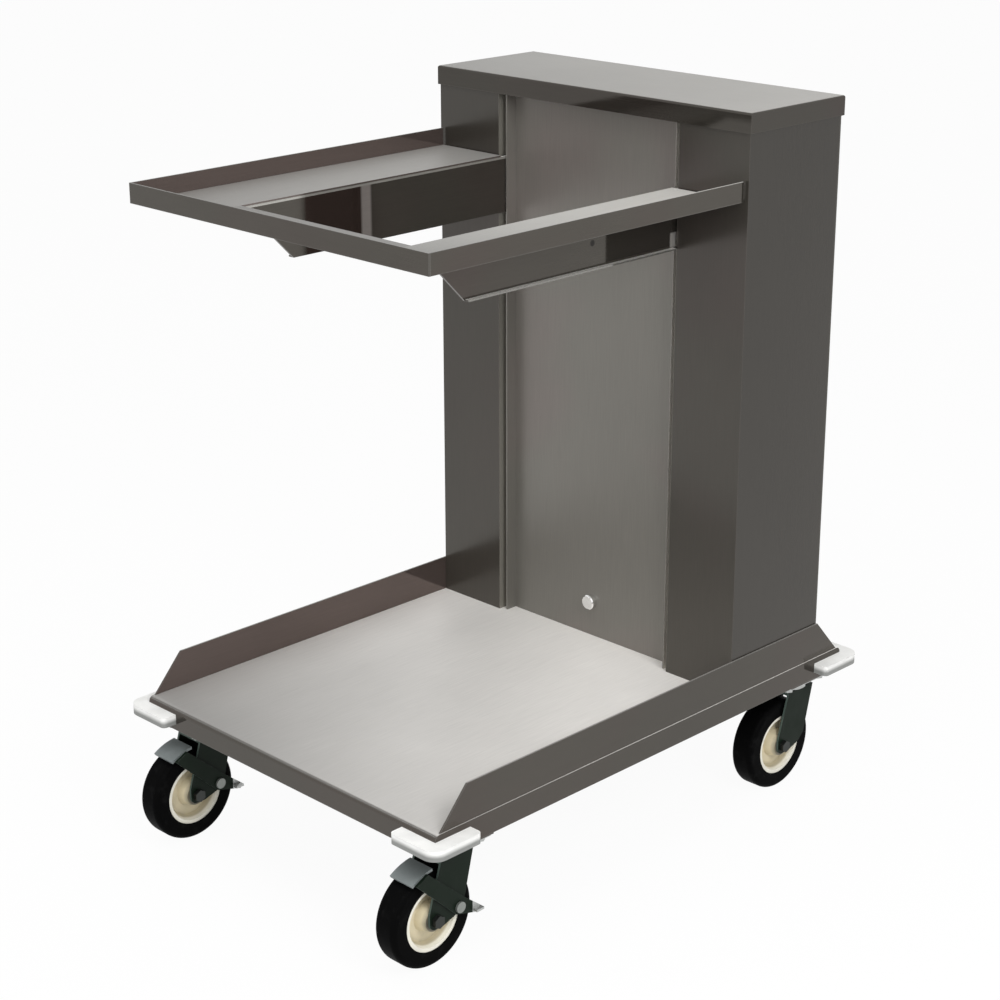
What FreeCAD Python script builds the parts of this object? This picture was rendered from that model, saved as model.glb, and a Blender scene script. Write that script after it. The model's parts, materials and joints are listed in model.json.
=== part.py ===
"""Mobile self-levelling rack dispenser, built piece by piece in millimetres.

+Z is up, the open end of the deck faces -Y and the spring tower stands towards +Y.
The origin lies on the floor, under the middle of the whole cart.
"""
import FreeCAD
import Part
import Sketcher
import os
from types import SimpleNamespace

# Driving dimensions, in millimetres and degrees
SIZES = {
    # sheet metal and clearances
    "skin": 2.0,
    "arm_skin": 3.0,
    "seat_gap": 0.05,
    "near_gap": 0.3,
    # base
    "base_length": 762.0,
    "base_width": 540.0,
    "deck_height": 189.5,
    "skirt_depth": 30.0,
    "deck_bend": 7.0,
    "rail_height": 49.0,
    "rail_chamfer": 44.0,
    "rail_step": 1.0,
    # corner bumpers
    "bumper_leg": 76.0,
    "bumper_out": 20.0,
    "bumper_height": 13.5,
    "bumper_drop": 8.0,
    "bumper_round": 18.0,
    "bumper_end_round": 6.0,
    # spring tower
    "tower_front": 531.0,
    "tower_depth": 176.5,
    "tower_gap": 0.5,
    "cap_top": 946.5,
    "cap_height": 25.0,
    "cap_overhang": 2.5,
    "cap_rear_overhang": 3.0,
    "cap_bend": 3.0,
    "slot_outer": 156.0,
    "stile_return": 52.0,
    "rear_flange": 18.0,
    "panel_recess": 22.0,
    "panel_return": 17.0,
    "slot_clearance": 1.5,
    "screw_radius": 2.0,
    "screw_play": 0.2,
    "screw_head_radius": 4.5,
    "screw_head": 2.4,
    "screw_reach": 6.0,
    "screw_inset": 40.0,
    # latch of the front panel
    "latch_height": 50.0,
    "knob_radius": 10.5,
    "knob_proud": 8.0,
    "knob_edge": 1.5,
    "latch_shaft_radius": 4.0,
    "tongue_width": 10.0,
    "tongue_reach": 28.0,
    "tongue_back": 6.0,
    "tongue_skin": 3.0,
    "catch_height": 30.0,
    "catch_width": 50.0,
    "catch_foot": 24.0,
    # lift guides and springs
    "guide_centre": 89.0,
    "guide_skin": 2.5,
    "guide_lip_gap": 4.0,
    "guide_end_gap": 3.0,
    "hanger_height": 22.0,
    "hanger_skin": 3.0,
    "hanger_front": 22.0,
    "stop_radius": 9.0,
    "stop_height": 10.0,
    "lower_stop_height": 19.0,
    "stop_set_back": 28.0,
    "spring_radius": 9.5,
    "spring_pitch": 45.0,
    "spring_wire": 1.5,
    "spring_hook": 10.0,
    "spring_shoulder": 7.0,
    # carriage
    "carriage_width": 522.6,
    "carriage_front": 10.0,
    "carriage_gap": 3.0,
    "ledge_top": 840.5,
    "wall_height": 23.0,
    "front_ledge": 79.0,
    "arm_spacing": 298.0,
    "arm_drop": 77.0,
    "arm_start": 108.0,
    "arm_chamfer": 60.0,
    "arm_flange": 6.5,
    "arm_lap": 25.0,
    "arm_tongue": 8.0,
    "trolley_rise": 48.0,
    "trolley_drop": 152.0,
    "trolley_half": 37.0,
    "roller_radius": 16.0,
    "roller_width": 22.0,
    "roller_play": 0.4,
    "roller_edge": 1.5,
    "roller_inset": 20.0,
    "roller_stand_off": 5.0,
    "axle_radius": 5.0,
    "axle_shank_radius": 4.0,
    "axle_head_radius": 8.0,
    "axle_head": 2.5,
    "spring_bar_height": 12.0,
    "spring_bar_half": 12.0,
    "tie_height": 40.0,
    "tie_skin": 12.0,
    "tie_rise": 10.0,
    # casters
    "caster_height": 155.0,
    "caster_spacing": 452.0,
    "caster_inset": 55.0,
    "caster_trail": 34.5,
    "channel_width": 86.0,
    "channel_skin": 3.0,
    "channel_end_gap": 2.0,
    "top_plate_length": 84.0,
    "top_plate_width": 72.0,
    "top_plate_skin": 4.0,
    "race_radius": 25.0,
    "race_height": 12.2,
    "kingpin_radius": 6.0,
    "kingpin_head_radius": 11.0,
    "kingpin_head": 3.5,
    "caster_bolt_radius": 4.0,
    "caster_bolt_play": 0.3,
    "caster_bolt_x": 26.0,
    "caster_bolt_y": 33.0,
    "caster_bolt_head_radius": 7.2,
    "caster_bolt_head": 5.3,
    "caster_nut": 6.5,
    "wheel_radius": 63.5,
    "rim_radius": 42.0,
    "tread_width": 34.0,
    "tread_round": 7.0,
    "rim_recess": 1.0,
    "hub_rim": 5.0,
    "hub_boss_radius": 15.0,
    "hub_web_half": 5.0,
    "fork_gap": 40.0,
    "fork_skin": 3.0,
    "fork_crown_skin": 4.0,
    "fork_crown_half": 26.0,
    "fork_foot": 11.0,
    "fork_foot_round": 9.0,
    "wheel_axle_radius": 5.0,
    "wheel_axle_head_radius": 8.5,
    "wheel_axle_head": 6.0,
    # wheel brakes of the front casters
    "brake_pivot_y": 33.0,
    "brake_pivot_z": 7.0,
    "brake_pin_radius": 4.0,
    "brake_pin_head_radius": 7.0,
    "brake_pin_head": 3.0,
    "brake_lever_skin": 4.0,
    "brake_lever_half": 9.0,
    "brake_lever_reach": 34.0,
    "brake_tip_drop": 20.0,
    "brake_tab_width": 7.0,
    "brake_tab_skin": 3.0,
    "brake_tab_length": 12.0,
    "brake_shoe_gap": 5.0,
    "brake_shoe_skin": 3.5,
    "brake_shoe_width": 28.0,
    "brake_shoe_near": 95.0,
    "brake_shoe_far": 123.0,
}
SPRING_COUNT = 6
BACK_SCREW_ROWS = 5

doc = FreeCAD.newDocument("rack_dispenser")
sheet = doc.addObject("Spreadsheet::Sheet", "dims")
for row, (alias, number) in enumerate(SIZES.items(), start=1):
    sheet.set(f"A{row}", alias)
    sheet.set(f"B{row}", str(number))
    sheet.setAlias(f"B{row}", alias)
doc.recompute()


class Formula:
    """A number kept together with the sheet formula that gives it."""

    def __init__(self, value, text):
        self.value = value
        self.text = text

    def __add__(self, other):
        other = formula(other)
        return Formula(self.value + other.value, f"({self.text} + {other.text})")

    def __sub__(self, other):
        other = formula(other)
        return Formula(self.value - other.value, f"({self.text} - {other.text})")

    def __mul__(self, other):
        other = formula(other)
        return Formula(self.value * other.value, f"({self.text} * {other.text})")

    def __truediv__(self, other):
        other = formula(other)
        return Formula(self.value / other.value, f"({self.text} / {other.text})")

    def __neg__(self):
        return self * -1

    def __radd__(self, other):
        return formula(other) + self

    def __rsub__(self, other):
        return formula(other) - self

    def __rmul__(self, other):
        return formula(other) * self


def formula(number):
    """Take a plain number as a formula; a formula stays as it is."""
    if isinstance(number, Formula):
        return number
    return Formula(float(number), f"({float(number)})")


size = SimpleNamespace(**{alias: Formula(number, f"dims.{alias}") for alias, number in SIZES.items()})
ZERO = formula(0)
nodes = {}


def keep(label, item):
    """Name a finished sub-part and put it on the list that is written out."""
    item.Label = label
    nodes[label] = item
    return item


def bind(item, path, number):
    """Tie one property of an item to the sheet."""
    item.setExpression(path, formula(number).text)


def place(item, x=ZERO, y=ZERO, z=ZERO):
    """Put an item at a point that follows the sheet."""
    bind(item, "Placement.Base.x", x)
    bind(item, "Placement.Base.y", y)
    bind(item, "Placement.Base.z", z)
    return item


# Sketches and PartDesign features


def new_body(name):
    return doc.addObject("PartDesign::Body", name)


def new_sketch(body, plane, level):
    """Start a sketch on an origin plane of a body, moved along that plane's own axis of the frame."""
    sketch = body.newObject("Sketcher::SketchObject", f"{body.Name}_sketch")
    support = [item for item in body.Origin.OriginFeatures if item.Role == f"{plane}_Plane"]
    sketch.AttachmentSupport = [(support[0], "")]
    sketch.MapMode = "FlatFace"
    level = formula(level)
    bind(sketch, "AttachmentOffset.Base.z", -level if plane == "XZ" else level)
    return sketch


def pin_point(sketch, geometry, point, spot):
    """Tie one point of a sketch to its two formulas, measured from the sketch's origin."""
    for kind, number in zip(("DistanceX", "DistanceY"), spot):
        number = formula(number)
        index = sketch.addConstraint(Sketcher.Constraint(kind, -1, 1, geometry, point, number.value))
        bind(sketch, f"Constraints[{index}]", number)


def draw_outline(sketch, corners):
    """Draw a closed outline of straight lines through corners given as pairs of formulas."""
    spots = [FreeCAD.Vector(formula(u).value, formula(v).value, 0) for u, v in corners]
    count = len(spots)
    for index in range(count):
        sketch.addGeometry(Part.LineSegment(spots[index], spots[(index + 1) % count]))
    for index in range(count):
        sketch.addConstraint(Sketcher.Constraint("Coincident", index, 2, (index + 1) % count, 1))
    for index, corner in enumerate(corners):
        pin_point(sketch, index, 1, corner)


def draw_circles(sketch, centres, radius):
    """Draw equal circles at centres given as pairs of formulas."""
    radius = formula(radius)
    for u, v in centres:
        centre = FreeCAD.Vector(formula(u).value, formula(v).value, 0)
        circle = sketch.addGeometry(Part.Circle(centre, FreeCAD.Vector(0, 0, 1), radius.value))
        pin_point(sketch, circle, 3, (u, v))
        index = sketch.addConstraint(Sketcher.Constraint("Radius", circle, radius.value))
        bind(sketch, f"Constraints[{index}]", radius)


def pad(body, plane, corners, low, high):
    """Add a prism between two levels; on the XZ plane it grows towards -Y, from the high one."""
    sketch = new_sketch(body, plane, high if plane == "XZ" else low)
    draw_outline(sketch, corners)
    feature = body.newObject("PartDesign::Pad", f"{body.Name}_pad")
    feature.Profile = sketch
    bind(feature, "Length", formula(high) - low)
    return feature


def start_pocket(body, plane, low, high):
    """Begin a pocket that runs from one level to another, against the plane's normal."""
    sketch = new_sketch(body, plane, low if plane == "XZ" else high)
    feature = body.newObject("PartDesign::Pocket", f"{body.Name}_pocket")
    feature.Profile = sketch
    bind(feature, "Length", formula(high) - low)
    return sketch


def pocket(body, plane, corners, low, high):
    draw_outline(start_pocket(body, plane, low, high), corners)


def drill(body, plane, centres, radius, low, high):
    draw_circles(start_pocket(body, plane, low, high), centres, radius)


def prism(label, plane, corners, low, high):
    """One piece of constant section."""
    body = new_body(label)
    pad(body, plane, corners, low, high)
    return keep(label, body)


def turned(name, plane, axis, profile):
    """One piece turned about an axis of its sketch."""
    body = new_body(name)
    sketch = new_sketch(body, plane, 0)
    draw_outline(sketch, profile)
    feature = body.newObject("PartDesign::Revolution", f"{name}_turn")
    feature.Profile = sketch
    feature.ReferenceAxis = (sketch, [axis])
    feature.Angle = 360
    return body


def round_edges(body, radius, chosen):
    """Round the edges of a body whose middle point and direction are chosen by a test."""
    doc.recompute()
    base = body.Tip
    names = []
    for number, edge in enumerate(base.Shape.Edges, start=1):
        middle = edge.valueAt((edge.FirstParameter + edge.LastParameter) / 2)
        if chosen(edge, middle):
            names.append(f"Edge{number}")
    feature = body.newObject("PartDesign::Fillet", f"{body.Name}_round")
    feature.Base = (base, names)
    bind(feature, "Radius", radius)
    return feature


def runs_along(edge, direction):
    """Tell whether a straight edge runs along a direction of the frame."""
    if edge.Curve.TypeId != "Part::GeomLine":
        return False
    return abs(abs(edge.Curve.Direction.dot(direction)) - 1) < 1e-6


def near(value, number):
    return abs(value - formula(number).value) < 1e-4


# Part primitives and booleans


def block(name, x, y, z):
    """A box between pairs of formulas along the three axes."""
    item = doc.addObject("Part::Box", name)
    for path, span in zip(("Length", "Width", "Height"), (x, y, z)):
        bind(item, path, formula(span[1]) - span[0])
    return place(item, x[0], y[0], z[0])


AXIS_TURNS = {
    "X": FreeCAD.Rotation(FreeCAD.Vector(0, 1, 0), 90),
    "Y": FreeCAD.Rotation(FreeCAD.Vector(1, 0, 0), -90),
    "Z": FreeCAD.Rotation(),
}


def rod(name, axis, radius, length, x=ZERO, y=ZERO, z=ZERO):
    """A cylinder that starts at a point and runs along +X, +Y or +Z."""
    item = doc.addObject("Part::Cylinder", name)
    bind(item, "Radius", radius)
    bind(item, "Height", length)
    item.Placement = FreeCAD.Placement(FreeCAD.Vector(), AXIS_TURNS[axis])
    return place(item, x, y, z)


def hexagon(name, axis, radius, length, x=ZERO, y=ZERO, z=ZERO):
    """A hexagonal prism that starts at a point and runs along +X, +Y or +Z."""
    item = doc.addObject("Part::Prism", name)
    item.Polygon = 6
    bind(item, "Circumradius", radius)
    bind(item, "Height", length)
    item.Placement = FreeCAD.Placement(FreeCAD.Vector(), AXIS_TURNS[axis])
    return place(item, x, y, z)


def fuse(name, pieces):
    item = doc.addObject("Part::MultiFuse", name)
    item.Shapes = pieces
    item.Refine = True
    return item


def cut(name, base, tool):
    item = doc.addObject("Part::Cut", name)
    item.Base = base
    item.Tool = tool
    return item


def group(label, pieces):
    """Several separate solids of one kind under one name."""
    item = doc.addObject("Part::Compound", label)
    item.Links = pieces
    return keep(label, item)


# Places that several pieces share

front_reach = size.wheel_radius + size.caster_trail - size.caster_inset
rear_reach = size.base_length + size.bumper_out
front_edge = (front_reach - rear_reach) / 2


def along(distance):
    """Y of a point measured back from the front edge of the base."""
    return front_edge + distance


SIDES = {"left": -1, "right": 1}
half_base = size.base_width / 2
deck_under = size.deck_height - size.skin
skirt_bottom = size.deck_height - size.skirt_depth
rail_inner = half_base - size.rail_step - size.skin
tower_half = rail_inner - size.tower_gap
tower_front = along(size.tower_front)
tower_rear = tower_front + size.tower_depth
tower_under = size.cap_top - size.skin
panel_front = tower_front + size.panel_recess
panel_back = panel_front + size.skin
arm_inner = size.arm_spacing / 2
arm_outer = arm_inner + size.arm_skin
panel_half = arm_inner - size.slot_clearance
guide_y = tower_front + size.guide_centre
carriage_half = size.carriage_width / 2
carriage_front = along(size.carriage_front)
carriage_rear = tower_front - size.carriage_gap
ledge_under = size.ledge_top - size.skin
arm_bottom = size.ledge_top - size.arm_drop
trolley_top = size.ledge_top + size.trolley_rise
trolley_bottom = size.ledge_top - size.trolley_drop
hanger_bottom = trolley_top + size.stop_height


def span(sign, inner, outer):
    """Low and high X of a stretch between two distances from the middle plane, on one side."""
    if sign > 0:
        return inner, outer
    return -outer, -inner


def mirrored(sign, corners):
    """Corners drawn for the right side, moved to the side asked for."""
    return [(x * sign, y) for x, y in corners]


# Base: deck, side rails, caster channels and bumpers


def make_deck_pan():
    body = new_body("deck_pan")
    front, rear = along(0), along(size.base_length)
    outer = [(-half_base, front), (half_base, front), (half_base, rear), (-half_base, rear)]
    pad(body, "XY", outer, skirt_bottom, size.deck_height)
    x = half_base - size.skin
    inner = [
        (-x, front + size.skin),
        (x, front + size.skin),
        (x, rear - size.skin),
        (-x, rear - size.skin),
    ]
    sketch = new_sketch(body, "XY", skirt_bottom)
    draw_outline(sketch, inner)
    hollow = body.newObject("PartDesign::Pocket", "deck_pan_hollow")
    hollow.Profile = sketch
    hollow.Reversed = True
    bind(hollow, "Length", size.skirt_depth - size.skin)
    along_x = FreeCAD.Vector(1, 0, 0)
    round_edges(
        body,
        size.deck_bend,
        lambda edge, middle: runs_along(edge, along_x)
        and near(middle.z, size.deck_height)
        and (near(middle.y, front) or near(middle.y, rear)),
    )
    keep("deck_pan", body)


def make_side_rails():
    start = along(size.deck_bend + size.rail_step)
    end = along(size.base_length - size.deck_bend - size.rail_step)
    top = size.deck_height + size.rail_height
    outline = [
        (start, size.deck_height),
        (end, size.deck_height),
        (end - size.rail_chamfer, top),
        (start + size.rail_chamfer, top),
    ]
    for side, sign in SIDES.items():
        low, high = span(sign, rail_inner, rail_inner + size.skin)
        prism(f"{side}_side_rail", "YZ", outline, low, high)


caster_x = size.caster_spacing / 2
CASTER_ROWS = {
    "front": along(size.caster_inset),
    "rear": along(size.base_length - size.caster_inset),
}
BOLT_SIGNS = [(-1, -1), (1, -1), (1, 1), (-1, 1)]


def caster_bolt_spots(x, y):
    return [(x + size.caster_bolt_x * a, y + size.caster_bolt_y * b) for a, b in BOLT_SIGNS]


def make_caster_channels():
    half_length = half_base - size.skin - size.channel_end_gap
    half_width = size.channel_width / 2
    web_top = size.caster_height + size.channel_skin
    for row, y in CASTER_ROWS.items():
        outline = [
            (y - half_width, size.caster_height),
            (y + half_width, size.caster_height),
            (y + half_width, deck_under),
            (y + half_width - size.channel_skin, deck_under),
            (y + half_width - size.channel_skin, web_top),
            (y - half_width + size.channel_skin, web_top),
            (y - half_width + size.channel_skin, deck_under),
            (y - half_width, deck_under),
        ]
        body = prism(f"{row}_caster_channel", "YZ", outline, -half_length, half_length)
        spots = caster_bolt_spots(-caster_x, y) + caster_bolt_spots(caster_x, y)
        hole = size.caster_bolt_radius + size.caster_bolt_play
        drill(body, "XY", spots, hole, size.caster_height, web_top)


def make_bumpers():
    top = size.deck_height - size.bumper_drop
    outer_x = half_base + size.bumper_out
    inner_leg_x = outer_x - size.bumper_leg
    ends = {"front": (along(0), -1), "rear": (along(size.base_length), 1)}
    along_z = FreeCAD.Vector(0, 0, 1)
    for row, (edge_y, way) in ends.items():
        outer_y = edge_y + size.bumper_out * way
        inner_leg_y = outer_y - size.bumper_leg * way
        outline = [
            (inner_leg_x, outer_y),
            (outer_x, outer_y),
            (outer_x, inner_leg_y),
            (half_base, inner_leg_y),
            (half_base, edge_y),
            (inner_leg_x, edge_y),
        ]
        for side, sign in SIDES.items():
            label = f"{row}_{side}_bumper"
            body = prism(label, "XY", mirrored(sign, outline), top - size.bumper_height, top)

            def at(middle, x, y):
                return near(middle.x, x * sign) and near(middle.y, y)

            round_edges(
                body,
                size.bumper_round,
                lambda edge, middle: runs_along(edge, along_z) and at(middle, outer_x, outer_y),
            )
            round_edges(
                body,
                size.bumper_end_round,
                lambda edge, middle: runs_along(edge, along_z)
                and (at(middle, inner_leg_x, outer_y) or at(middle, outer_x, inner_leg_y)),
            )


# Spring tower: sides, back, front panel, cap and latch

screw_hole = size.screw_radius + size.screw_play
screw_x = tower_half - size.rear_flange / 2


def back_screw_spots(x):
    """Screws spaced evenly up one edge of the back panel."""
    low = size.deck_height + size.screw_inset
    high = size.cap_top - size.cap_height - size.screw_inset
    step = (high - low) / (BACK_SCREW_ROWS - 1)
    return [(x, low + step * row) for row in range(BACK_SCREW_ROWS)]


def make_tower_sides():
    return_rear = tower_front + size.stile_return
    flange_in = tower_half - size.rear_flange
    outline = [
        (tower_half, tower_front),
        (tower_half, tower_rear),
        (flange_in, tower_rear),
        (flange_in, tower_rear - size.skin),
        (tower_half - size.skin, tower_rear - size.skin),
        (tower_half - size.skin, tower_front + size.skin),
        (size.slot_outer + size.skin, tower_front + size.skin),
        (size.slot_outer + size.skin, return_rear),
        (size.slot_outer, return_rear),
        (size.slot_outer, tower_front),
    ]
    for side, sign in SIDES.items():
        body = prism(f"tower_{side}_side", "XY", mirrored(sign, outline), size.deck_height, tower_under)
        drill(body, "XZ", back_screw_spots(screw_x * sign), screw_hole, tower_rear - size.skin, tower_rear)


def make_back_panel():
    outline = [
        (-tower_half, size.deck_height),
        (tower_half, size.deck_height),
        (tower_half, tower_under),
        (-tower_half, tower_under),
    ]
    rear = tower_rear + size.skin
    body = prism("tower_back_panel", "XZ", outline, tower_rear, rear)
    spots = back_screw_spots(-screw_x) + back_screw_spots(screw_x)
    drill(body, "XZ", spots, screw_hole, tower_rear, rear)
    screws = []
    for number, (x, z) in enumerate(spots, start=1):
        head = rod(f"back_screw_head_{number}", "Y", size.screw_head_radius, size.screw_head, x, rear, z)
        shank_start = rear - size.screw_reach
        shank = rod(f"back_screw_shank_{number}", "Y", size.screw_radius, size.screw_reach, x, shank_start, z)
        screws.append(fuse(f"back_screw_{number}", [head, shank]))
    group("back_panel_screws", screws)


latch_z = size.deck_height + size.latch_height


def make_front_panel():
    """Panel whose sides are bent forward, so that little of each arm's slot shows."""
    inner = panel_half - size.skin
    return_front = panel_front - size.panel_return
    outline = [
        (-panel_half, return_front),
        (-inner, return_front),
        (-inner, panel_front),
        (inner, panel_front),
        (inner, return_front),
        (panel_half, return_front),
        (panel_half, panel_back),
        (-panel_half, panel_back),
    ]
    body = prism("tower_front_panel", "XY", outline, size.deck_height, tower_under)
    hole = size.latch_shaft_radius + size.seat_gap
    drill(body, "XZ", [(ZERO, latch_z)], hole, panel_front, panel_back)


def make_panel_latch():
    """Quarter-turn knob, whose tongue points down behind the catch when the panel is locked."""
    knob_back = panel_front - size.near_gap
    knob_front = knob_back - size.knob_proud
    catch_front = panel_back + size.near_gap
    catch_back = catch_front + size.skin
    tongue_front = catch_back + size.near_gap
    tongue_rear = tongue_front + size.tongue_skin
    profile = [
        (ZERO, knob_front),
        (size.knob_radius - size.knob_edge, knob_front),
        (size.knob_radius, knob_front + size.knob_edge),
        (size.knob_radius, knob_back),
        (size.latch_shaft_radius, knob_back),
        (size.latch_shaft_radius, tongue_rear),
        (ZERO, tongue_rear),
    ]
    knob = place(turned("latch_knob", "XY", "V_Axis", profile), z=latch_z)
    half = size.tongue_width / 2
    tongue = block(
        "latch_tongue",
        (-half, half),
        (tongue_front, tongue_rear),
        (latch_z - size.tongue_reach, latch_z + size.tongue_back),
    )
    keep("panel_latch", fuse("panel_latch", [knob, tongue]))
    foot_top = size.deck_height + size.skin
    outline = [
        (catch_front, size.deck_height),
        (catch_front + size.catch_foot, size.deck_height),
        (catch_front + size.catch_foot, foot_top),
        (catch_back, foot_top),
        (catch_back, size.deck_height + size.catch_height),
        (catch_front, size.deck_height + size.catch_height),
    ]
    prism("panel_catch", "YZ", outline, -size.catch_width / 2, size.catch_width / 2)


def make_cap():
    body = new_body("tower_top_cap")
    x = tower_half + size.cap_overhang
    front = tower_front - size.cap_overhang
    rear = tower_rear + size.skin + size.cap_rear_overhang
    bottom = size.cap_top - size.cap_height
    outer = [(-x, front), (x, front), (x, rear), (-x, rear)]
    pad(body, "XY", outer, bottom, size.cap_top)
    inner_x = x - size.skin
    inner = [
        (-inner_x, front + size.skin),
        (inner_x, front + size.skin),
        (inner_x, rear - size.skin),
        (-inner_x, rear - size.skin),
    ]
    sketch = new_sketch(body, "XY", bottom)
    draw_outline(sketch, inner)
    hollow = body.newObject("PartDesign::Pocket", "tower_top_cap_hollow")
    hollow.Profile = sketch
    hollow.Reversed = True
    bind(hollow, "Length", size.cap_height - size.skin)
    round_edges(body, size.cap_bend, lambda edge, middle: near(middle.z, size.cap_top))
    keep("tower_top_cap", body)


# Lift: guide channels, spring hanger, stops and springs

guide_inner = size.roller_radius + size.roller_play
guide_lip = arm_outer + size.guide_lip_gap
roller_start = arm_outer + size.roller_stand_off
roller_end = roller_start + size.roller_width
axle_end = roller_end + size.near_gap + size.axle_head
guide_web = axle_end + size.guide_end_gap


def make_guides():
    outer = guide_inner + size.guide_skin
    back = guide_web + size.guide_skin
    outline = [
        (guide_lip, guide_y - outer),
        (back, guide_y - outer),
        (back, guide_y + outer),
        (guide_lip, guide_y + outer),
        (guide_lip, guide_y + guide_inner),
        (guide_web, guide_y + guide_inner),
        (guide_web, guide_y - guide_inner),
        (guide_lip, guide_y - guide_inner),
    ]
    for side, sign in SIDES.items():
        prism(f"{side}_guide_channel", "XY", mirrored(sign, outline), size.deck_height, hanger_bottom)


stop_y = guide_y + size.stop_set_back


def make_hanger():
    front = guide_y - size.hanger_front
    rear = stop_y + size.stop_radius + size.hanger_skin
    web_top = hanger_bottom + size.hanger_skin
    top = hanger_bottom + size.hanger_height
    outline = [
        (front, hanger_bottom),
        (rear, hanger_bottom),
        (rear, top),
        (rear - size.hanger_skin, top),
        (rear - size.hanger_skin, web_top),
        (front + size.hanger_skin, web_top),
        (front + size.hanger_skin, top),
        (front, top),
    ]
    half = tower_half - size.skin
    prism("spring_hanger_bar", "YZ", outline, -half, half)


def make_stops():
    x = arm_inner + size.arm_skin / 2
    upper_length = size.stop_height - size.near_gap
    lower_length = size.lower_stop_height - size.near_gap
    upper_start = hanger_bottom - upper_length
    stops = []
    for side, sign in SIDES.items():
        upper = rod(f"{side}_upper_stop", "Z", size.stop_radius, upper_length, x * sign, stop_y, upper_start)
        lower = rod(
            f"{side}_lower_stop", "Z", size.stop_radius, lower_length, x * sign, stop_y, size.deck_height
        )
        stops += [upper, lower]
    group("stop_bumpers", stops)


spring_bar_top = trolley_bottom + size.spring_bar_height


def make_springs():
    """Closed tension springs, as bodies of their outer shape with a hook at each end."""
    low = spring_bar_top
    high = hanger_bottom
    hook, shoulder = size.spring_hook, size.spring_shoulder
    profile = [
        (ZERO, low),
        (size.spring_wire, low),
        (size.spring_wire, low + hook),
        (size.spring_radius, low + hook + shoulder),
        (size.spring_radius, high - hook - shoulder),
        (size.spring_wire, high - hook),
        (size.spring_wire, high),
        (ZERO, high),
    ]
    springs = []
    for number in range(SPRING_COUNT):
        offset = number - (SPRING_COUNT - 1) / 2
        spring = turned(f"lift_spring_{number + 1}", "XZ", "V_Axis", profile)
        springs.append(place(spring, size.spring_pitch * offset, guide_y))
    group("lift_springs", springs)


# Carriage: rack ledges, arms, ties, axles and rollers


def make_ledges():
    """Two side ledges that lie on the arms, and a front one whose wall closes their ends."""
    top = size.ledge_top + size.wall_height
    wall_inner = carriage_half - size.skin
    wall_rear = carriage_front + size.skin
    outline = [
        (carriage_half, ledge_under),
        (carriage_half, top),
        (wall_inner, top),
        (wall_inner, size.ledge_top),
        (arm_inner, size.ledge_top),
        (arm_inner, ledge_under),
    ]
    for side, sign in SIDES.items():
        prism(f"{side}_rack_ledge", "XZ", mirrored(sign, outline), wall_rear, carriage_rear)
    wall = block(
        "front_ledge_wall",
        (-carriage_half, carriage_half),
        (carriage_front, wall_rear),
        (ledge_under, top),
    )
    flat = block(
        "front_ledge_flat",
        (-arm_inner, arm_inner),
        (carriage_front, carriage_front + size.front_ledge),
        (ledge_under, size.ledge_top),
    )
    keep("front_rack_ledge", fuse("front_rack_ledge", [wall, flat]))


trolley_front = guide_y - size.trolley_half
trolley_rear = guide_y + size.trolley_half
ROLLER_LEVELS = {
    "upper": trolley_top - size.roller_inset,
    "lower": trolley_bottom + size.roller_inset,
}


def make_arms():
    """Arms with a foot flange, and a tongue at the top that reaches in under the front ledge."""
    start = along(size.arm_start)
    tongue_front = carriage_front + size.front_ledge - size.arm_lap
    outline = [
        (tongue_front, ledge_under),
        (trolley_front, ledge_under),
        (trolley_front, trolley_top),
        (trolley_rear, trolley_top),
        (trolley_rear, trolley_bottom),
        (trolley_front, trolley_bottom),
        (trolley_front, arm_bottom),
        (start + size.arm_chamfer, arm_bottom),
        (start, arm_bottom + size.arm_chamfer),
        (tongue_front, ledge_under - size.arm_tongue),
    ]
    flange_start = start + size.arm_chamfer
    flange = [
        (flange_start, arm_bottom),
        (carriage_rear, arm_bottom),
        (carriage_rear, arm_bottom + size.skin),
        (flange_start, arm_bottom + size.skin),
    ]
    spots = [(guide_y, z) for z in ROLLER_LEVELS.values()]
    for side, sign in SIDES.items():
        low, high = span(sign, arm_inner, arm_outer)
        body = prism(f"{side}_arm", "YZ", outline, low, high)
        flange_low, flange_high = span(sign, arm_outer, arm_outer + size.arm_flange)
        pad(body, "YZ", flange, flange_low, flange_high)
        drill(body, "YZ", spots, size.axle_shank_radius + size.seat_gap, low, high)


def make_carriage_bars():
    spring_bar = block(
        "spring_bar",
        (-arm_inner, arm_inner),
        (guide_y - size.spring_bar_half, guide_y + size.spring_bar_half),
        (trolley_bottom, spring_bar_top),
    )
    keep("spring_bar", spring_bar)
    tie_bottom = arm_bottom + size.tie_rise
    tie = block(
        "cross_tie",
        (-arm_inner, arm_inner),
        (trolley_rear - size.tie_skin, trolley_rear),
        (tie_bottom, tie_bottom + size.tie_height),
    )
    keep("cross_tie", tie)


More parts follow.
